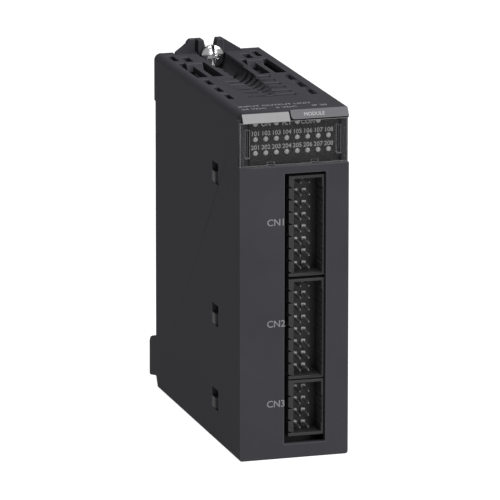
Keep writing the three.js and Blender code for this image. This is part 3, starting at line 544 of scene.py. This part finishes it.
def lens_finish():
    """Frosted clear plastic that scatters light inside."""
    material, shader, add, link = new_material("lamp_lens")
    shader.inputs["IOR"].default_value = 1.49
    place = add("ShaderNodeTexCoord").outputs["Object"]
    mottle = add("ShaderNodeTexNoise", {"Vector": place, "Scale": 3500, "Detail": 3}).outputs["Fac"]
    tone = add("ShaderNodeValToRGB", {"Fac": mottle})
    tone.color_ramp.elements[0].color = (0.19, 0.19, 0.19, 1)
    tone.color_ramp.elements[1].color = (0.24, 0.24, 0.24, 1)
    link(tone.outputs["Color"], "Base Color")
    gloss = add("ShaderNodeMapRange", {"Value": mottle, "To Min": 0.25, "To Max": 0.45})
    link(gloss.outputs["Result"], "Roughness")
    bump = add("ShaderNodeBump", {"Height": mottle, "Strength": 0.2, "Distance": 0.01 * MM})
    link(bump.outputs["Normal"], "Normal")
    return material


def add_turned(shape, profile, x, z, sides=24):
    """A turned solid about a line along the depth, from its radii and depths, front to back."""
    rings = []
    for radius, depth in profile:
        if radius == 0:
            rings.append([shape.verts.new(at(x, depth, z))])
            continue
        rings.append([
            shape.verts.new(at(
                x + radius * math.cos(2 * math.pi * k / sides),
                depth,
                z + radius * math.sin(2 * math.pi * k / sides),
            ))
            for k in range(sides)
        ])
    for first, second in zip(rings, rings[1:]):
        for k in range(sides):
            corners = [
                first[k % len(first)], first[(k + 1) % len(first)],
                second[(k + 1) % len(second)], second[k % len(second)],
            ]
            corners = list(dict.fromkeys(corners))
            shape.faces.new(corners)


lens_plastic = lens_finish()
for node, (level, step) in LAMP_ROWS.items():
    shape = bmesh.new()
    places = lamp_places(step)
    for x in places:
        peg = [(0, PEG_FRONT)]
        for k in range(1, 5):
            lean = k / 4 * math.pi / 2
            peg.append((PEG_RADIUS * math.sin(lean), PEG_FRONT + PEG_DOME * (1 - math.cos(lean))))
        peg += [(PEG_RADIUS, COMB_FRONT + 0.2), (0, COMB_FRONT + 0.2)]
        add_turned(shape, peg, x, level)
    add_block(
        shape,
        (places[0] - COMB_HALF, places[-1] + COMB_HALF),
        (COMB_FRONT, COMB_FRONT + COMB_DEPTH),
        (level - COMB_HALF, level + COMB_HALF),
    )
    fitted(finish_mesh(node + "_pegs", shape, [lens_plastic]), [node])

# ---------------------------------------------------------------------------------------------
# Display window. A polished clear moulding over the lamps, held by a flange at each side and two
# small clips in its lower edge.


def clear_finish():
    """Polished clear plastic, thin enough not to bend the view, with a faint rubbed haze."""
    material, shader, add, link = new_material("clear_cover")
    shader.inputs["Base Color"].default_value = (0.03, 0.03, 0.03, 1)
    shader.inputs["IOR"].default_value = 1.3
    place = add("ShaderNodeTexCoord").outputs["Object"]
    haze = add("ShaderNodeTexNoise", {"Vector": place, "Scale": 320, "Detail": 5}).outputs["Fac"]
    gloss = add("ShaderNodeMapRange", {"Value": haze, "To Min": 0.1, "To Max": 0.2})
    link(gloss.outputs["Result"], "Roughness")
    cover = add("ShaderNodeMapRange", {"Value": haze, "To Min": 0.04, "To Max": 0.1})
    link(cover.outputs["Result"], "Alpha")
    return material


def glint_edge_finish():
    """The rounded edges of the clear cover drawn pale: painted glints along its cut edges."""
    material, shader, add, link = new_material("clear_edge_painted_glint")
    shader.inputs["IOR"].default_value = 1.3
    place = add("ShaderNodeTexCoord").outputs["Object"]
    mottle = add("ShaderNodeTexNoise", {"Vector": place, "Scale": 900, "Detail": 3}).outputs["Fac"]
    tone = add("ShaderNodeValToRGB", {"Fac": mottle})
    tone.color_ramp.elements[0].color = (0.05, 0.05, 0.05, 1)
    tone.color_ramp.elements[1].color = (0.26, 0.26, 0.26, 1)
    link(tone.outputs["Color"], "Base Color")
    gloss = add("ShaderNodeMapRange", {"Value": mottle, "To Min": 0.2, "To Max": 0.4})
    link(gloss.outputs["Result"], "Roughness")
    return material


# The window's rounded edges take the pale edge finish, painted glints.
moulding(
    "display_window", clear_finish(), 0.1 * MM, edge_finish=glint_edge_finish()
)

# ---------------------------------------------------------------------------------------------
# Marker strip and type tab. Two slips along the sloping top edge of the bay: a smooth light grey
# strip to write on, and a mid grey tab with a rounded lower corner. The tab stands a little proud;
# under it lies a near-black slip, painted shadow that shows as a dark line beside and below it.
SLOPE_FOOT = (0.0, 97.4)
SLOPE_HEAD = (1.8, 100.0)
TAB_COLOUR = (0.1, 0.1, 0.106)
STRIP_COLOUR = (0.205, 0.205, 0.208)

slope_run = SLOPE_HEAD[0] - SLOPE_FOOT[0]
slope_rise = SLOPE_HEAD[1] - SLOPE_FOOT[1]
slope_length = math.hypot(slope_run, slope_rise)
slope_angle = math.atan2(slope_rise, slope_run)


def on_slope(x, climb, sink):
    """A point on the sloping edge: across, up the slope, and how far below its surface."""
    behind = SLOPE_FOOT[0] + climb * math.cos(slope_angle) + sink * math.sin(slope_angle)
    level = SLOPE_FOOT[1] + climb * math.sin(slope_angle) - sink * math.cos(slope_angle)
    return at(x, behind, level)


def slip(outline, top, thickness):
    """A flat slip on the slope from its outline, its face at depth top below the surface."""
    shape = bmesh.new()
    under = [shape.verts.new(on_slope(x, climb, top + thickness)) for x, climb in outline]
    face = shape.faces.new(under)
    grown = bmesh.ops.extrude_face_region(shape, geom=[face])
    lifted = [g for g in grown["geom"] if isinstance(g, bmesh.types.BMVert)]
    bmesh.ops.translate(shape, verts=lifted, vec=on_slope(0, 0, 0) - on_slope(0, 0, thickness))
    bmesh.ops.recalc_face_normals(shape, faces=shape.faces)
    return shape


tab_low, tab_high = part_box("type_tab")
strip_low, strip_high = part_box("marker_strip")
tab_left, tab_right = tab_low.x / MM, tab_high.x / MM
strip_left, strip_right = strip_low.x / MM, strip_high.x / MM
TAB_CORNER = 1.0
TAB_FOOT = 0.32
TAB_THICKNESS = 0.62
SHADOW_SLIP_SINK = 0.27
SHADOW_SLIP_INSET = 0.1
STRIP_SINK = 0.18
STRIP_LEFT_INSET = 0.35
STRIP_HEAD_INSET = 0.42
STRIP_FOOT = -0.12
corner_steps = 6
tab_outline = [(tab_right, slope_length), (tab_left, slope_length)]
for k in range(corner_steps + 1):
    lean = k / corner_steps * math.pi / 2
    tab_outline.append((
        tab_left + TAB_CORNER * (1 - math.cos(lean)),
        TAB_FOOT + TAB_CORNER * (1 - math.sin(lean)),
    ))
tab_outline.append((tab_right, TAB_FOOT))
tab_plastic = moulded_plastic(
    "grey_tab", TAB_COLOUR, 0.45, grain=0.3 * MM, depth=0.005 * MM, wear_and_highlight=0.2
)
tab_shape = slip(tab_outline, 0.0, TAB_THICKNESS)
round_edges(tab_shape, 0.09 * MM)
fitted(finish_mesh("type_tab_slip", tab_shape, [tab_plastic]), ["type_tab"])

# Near-black slip under the tab: painted shadow beside and below the proud tab.
shadow_slip_left = strip_right + 0.03
shadow_slip_right = tab_right - SHADOW_SLIP_INSET
shadow_slip_head = slope_length - SHADOW_SLIP_INSET
shadow_slip_foot = 0.02
shadow_slip_outline = [
    (shadow_slip_right, shadow_slip_head), (shadow_slip_left, shadow_slip_head),
    (shadow_slip_left, shadow_slip_foot), (shadow_slip_right, shadow_slip_foot),
]
painted_shadow_plastic = moulded_plastic("tab_painted_shadow", (0.004, 0.004, 0.004), 0.7, wear_and_highlight=0)
painted_shadow_slip = finish_mesh("tab_painted_shadow", slip(shadow_slip_outline, SHADOW_SLIP_SINK, 0.05), [painted_shadow_plastic])
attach(painted_shadow_slip, "housing")

strip_start = strip_left + STRIP_LEFT_INSET
strip_head = slope_length - STRIP_HEAD_INSET
strip_outline = [
    (strip_right, strip_head), (strip_start, strip_head),
    (strip_start, STRIP_FOOT), (strip_right, STRIP_FOOT),
]
strip_plastic = moulded_plastic(
    "pale_strip", STRIP_COLOUR, 0.4, grain=0.4 * MM, depth=0.003 * MM, wear_and_highlight=0.15
)
strip_shape = slip(strip_outline, STRIP_SINK, 0.4)
round_edges(strip_shape, 0.06 * MM)
strip_slip = finish_mesh("marker_strip_slip", strip_shape, [strip_plastic])
fitted(strip_slip, ["marker_strip"])

along_slope = Matrix.Rotation(slope_angle, 4, "X")
tab_ink = ink_finish("tab_ink", (0.24, 0.24, 0.25))
TAB_WORD_X = 6.0
TAB_WORD_HEIGHT = 1.1
tab_middle = on_slope(TAB_WORD_X, slope_length * 0.5, 0)
printed("tab_word", [("MODULE", tab_middle, TAB_WORD_HEIGHT, along_slope)], tab_ink)

# ---------------------------------------------------------------------------------------------
# Printing on the case. A plain number beside each connector, and rows of fine marks along the
# front of the top face.
LABEL_X = -5.3
LABEL_HEIGHT = 2.0
LABEL_LEVELS = (68.4, 39.2, 16.0)
TOP_WORD_HEIGHT = 1.6
case_ink = ink_finish("case_ink", (0.145, 0.145, 0.153))
top_ink = ink_finish("top_ink", (0.175, 0.175, 0.183))
labels = [
    (f"CN{k}", at(LABEL_X, 0, z), LABEL_HEIGHT, upright) for k, z in enumerate(LABEL_LEVELS, 1)
]
printed("connector_numbers", labels, case_ink)

TOP_LINES = [
    ("INPUT OUTPUT UNIT", -3, 9.2),
    ("24 VDC", -10.1, 5.75),
    ("5 VDC", -0.6, 5.75),
    ("IP 20", 9, 5.75),
]
level_words = Matrix.Identity(4)
top_words = [
    (text, Vector((x * MM, front_y + behind * MM, module_top)), TOP_WORD_HEIGHT, level_words)
    for text, x, behind in TOP_LINES
]
printed("top_words", top_words, top_ink)

# ---------------------------------------------------------------------------------------------
# Fixing screw and washer. A nickel plated M3 screw with a domed head, one full slot and a short
# cross recess; it turns in its washer and the pair draws back out of the ears.
SCREW_HEIGHT = 99.3
HEAD_FRONT = 79.0
HEAD_RADIUS = 3.4
DOME_RISE = 1.25
HEAD_BACK = 81.1
SHANK_RADIUS = 1.5
THREAD_ROOT = 1.22
THREAD_PITCH = 0.5
SCREW_TIP = 91.1
SLOT_HALF = 0.45
CROSS_HALF = 1.8
SLOT_FLOOR = 80.05
CROSS_RISE = 0.3
HEAD_CHAMFER = 0.12
PLAIN_NECK = 1.0
POINT_LENGTH = 0.6

nickel = metal("plated_steel", (0.88, 0.88, 0.89), 0.16, (1, 1, 1), grain=420)
# Darker steel for the walls and floors of the slot and cross recess: painted shade in the recess.
shaded_metal = metal("recess_steel_painted_shade", (0.30, 0.30, 0.31), 0.5, (1, 1, 1), grain=420)

head = bmesh.new()
profile = [(0, HEAD_FRONT)]
for k in range(1, 13):
    lean = k / 12 * math.pi / 2
    profile.append((HEAD_RADIUS * math.sin(lean), HEAD_FRONT + DOME_RISE * (1 - math.cos(lean))))
profile += [
    (HEAD_RADIUS, HEAD_BACK - HEAD_CHAMFER),
    (HEAD_RADIUS - HEAD_CHAMFER, HEAD_BACK),
    (SHANK_RADIUS, HEAD_BACK),
]
depth = HEAD_BACK + PLAIN_NECK
profile.append((SHANK_RADIUS, depth))
while depth + THREAD_PITCH < SCREW_TIP - POINT_LENGTH:
    profile += [
        (THREAD_ROOT, depth + 0.2),
        (THREAD_ROOT, depth + 0.28),
        (SHANK_RADIUS, depth + 0.45),
    ]
    depth += THREAD_PITCH
    profile.append((SHANK_RADIUS, depth))
profile += [(SHANK_RADIUS - 0.5, SCREW_TIP), (0, SCREW_TIP)]
add_turned(head, profile, 0, SCREW_HEIGHT, sides=64)
bmesh.ops.recalc_face_normals(head, faces=head.faces)
screw = finish_mesh("fixing_screw_turned", head, [nickel])

cutter = bmesh.new()
add_block(
    cutter, (-SLOT_HALF, SLOT_HALF), (HEAD_FRONT - 1, SLOT_FLOOR),
    (SCREW_HEIGHT - 2 * HEAD_RADIUS, SCREW_HEIGHT + 2 * HEAD_RADIUS),
)
bmesh.ops.recalc_face_normals(cutter, faces=cutter.faces)
slot_tool = finish_mesh("slot_tool", cutter, [shaded_metal])
cutter = bmesh.new()
add_block(
    cutter, (-CROSS_HALF, CROSS_HALF), (HEAD_FRONT - 1, SLOT_FLOOR + CROSS_RISE),
    (SCREW_HEIGHT - SLOT_HALF, SCREW_HEIGHT + SLOT_HALF),
)
bmesh.ops.recalc_face_normals(cutter, faces=cutter.faces)
cross_tool = finish_mesh("cross_tool", cutter, [shaded_metal])
for tool in (slot_tool, cross_tool):
    cut = screw.modifiers.new("recess", "BOOLEAN")
    cut.operation = "DIFFERENCE"
    cut.object = tool
    cut.solver = "EXACT"
    cut.material_mode = "TRANSFER"
screw.modifiers.move(0, 2)
bpy.context.view_layer.update()
cut_mesh = bpy.data.meshes.new_from_object(
    screw.evaluated_get(bpy.context.evaluated_depsgraph_get())
)
screw.modifiers.clear()
screw.data = cut_mesh
cut_mesh.shade_smooth()
cut_mesh.set_sharp_from_angle(angle=math.radians(35))
for tool in (slot_tool, cross_tool):
    bpy.data.objects.remove(tool)
fitted(screw, ["fixing_screw"])

WASHER_FRONT = 81.2
WASHER_BACK = 81.9
WASHER_RADIUS = 3.2
WASHER_BORE = 1.6
washer_shape = bmesh.new()
ring_profile = [
    (WASHER_BORE, WASHER_FRONT + 0.08), (WASHER_BORE + 0.08, WASHER_FRONT),
    (WASHER_RADIUS - 0.1, WASHER_FRONT), (WASHER_RADIUS, WASHER_FRONT + 0.1),
    (WASHER_RADIUS, WASHER_BACK - 0.1), (WASHER_RADIUS - 0.1, WASHER_BACK),
    (WASHER_BORE + 0.08, WASHER_BACK), (WASHER_BORE, WASHER_BACK - 0.08),
    (WASHER_BORE, WASHER_FRONT + 0.08),
]
add_turned(washer_shape, ring_profile, 0, SCREW_HEIGHT, sides=64)
bmesh.ops.remove_doubles(washer_shape, verts=washer_shape.verts, dist=0.001 * MM)
bmesh.ops.recalc_face_normals(washer_shape, faces=washer_shape.faces)
fitted(finish_mesh("washer_ring", washer_shape, [nickel]), ["screw_washer"])

# ---------------------------------------------------------------------------------------------
# Floor and light. A plain white floor that runs out of view, a large soft light above on the
# right, a smaller one in front on the right, and an even pale room around them.
FLOOR_SIZE = 6.0
floor_mesh = bpy.data.meshes.new("floor")
half = FLOOR_SIZE / 2
floor_mesh.from_pydata(
    [(-half, -half, 0), (half, -half, 0), (half, half, 0), (-half, half, 0)], [], [(0, 1, 2, 3)]
)
floor = bpy.data.objects.new("floor", floor_mesh)
floor.location.z = -0.02 * MM
bpy.context.scene.collection.objects.link(floor)
floor_finish, floor_shader, _, _ = new_material("floor_white")
floor_shader.inputs["Base Color"].default_value = (0.12, 0.12, 0.12, 1)
floor_shader.inputs["Roughness"].default_value = 0.9
floor_shader.inputs["Emission Color"].default_value = (1, 1, 1, 1)
floor_shader.inputs["Emission Strength"].default_value = 0.97
floor_mesh.materials.append(floor_finish)


def soft_light(name, place, target, size, power):
    """A square soft light aimed at a point."""
    lamp = bpy.data.lights.new(name, "AREA")
    lamp.shape = "SQUARE"
    lamp.size = size
    lamp.energy = power
    light = bpy.data.objects.new(name, lamp)
    light.location = place
    light.rotation_euler = (target - Vector(place)).to_track_quat("-Z", "Y").to_euler()
    bpy.context.scene.collection.objects.link(light)
    return light


module_middle = Vector((0, 0, 0.05))
soft_light("key_light", (0.45, -0.25, 1.15), module_middle, 1.5, 28)
soft_light("front_light", (0.35, -1.3, 0.45), module_middle, 0.5, 10.5)

world = bpy.data.worlds.new("room")
world.use_nodes = True
world.node_tree.nodes["Background"].inputs["Color"].default_value = (1, 1, 1, 1)
world.node_tree.nodes["Background"].inputs["Strength"].default_value = 0.35
bpy.context.scene.world = world
bpy.context.scene.view_settings.view_transform = "Standard"
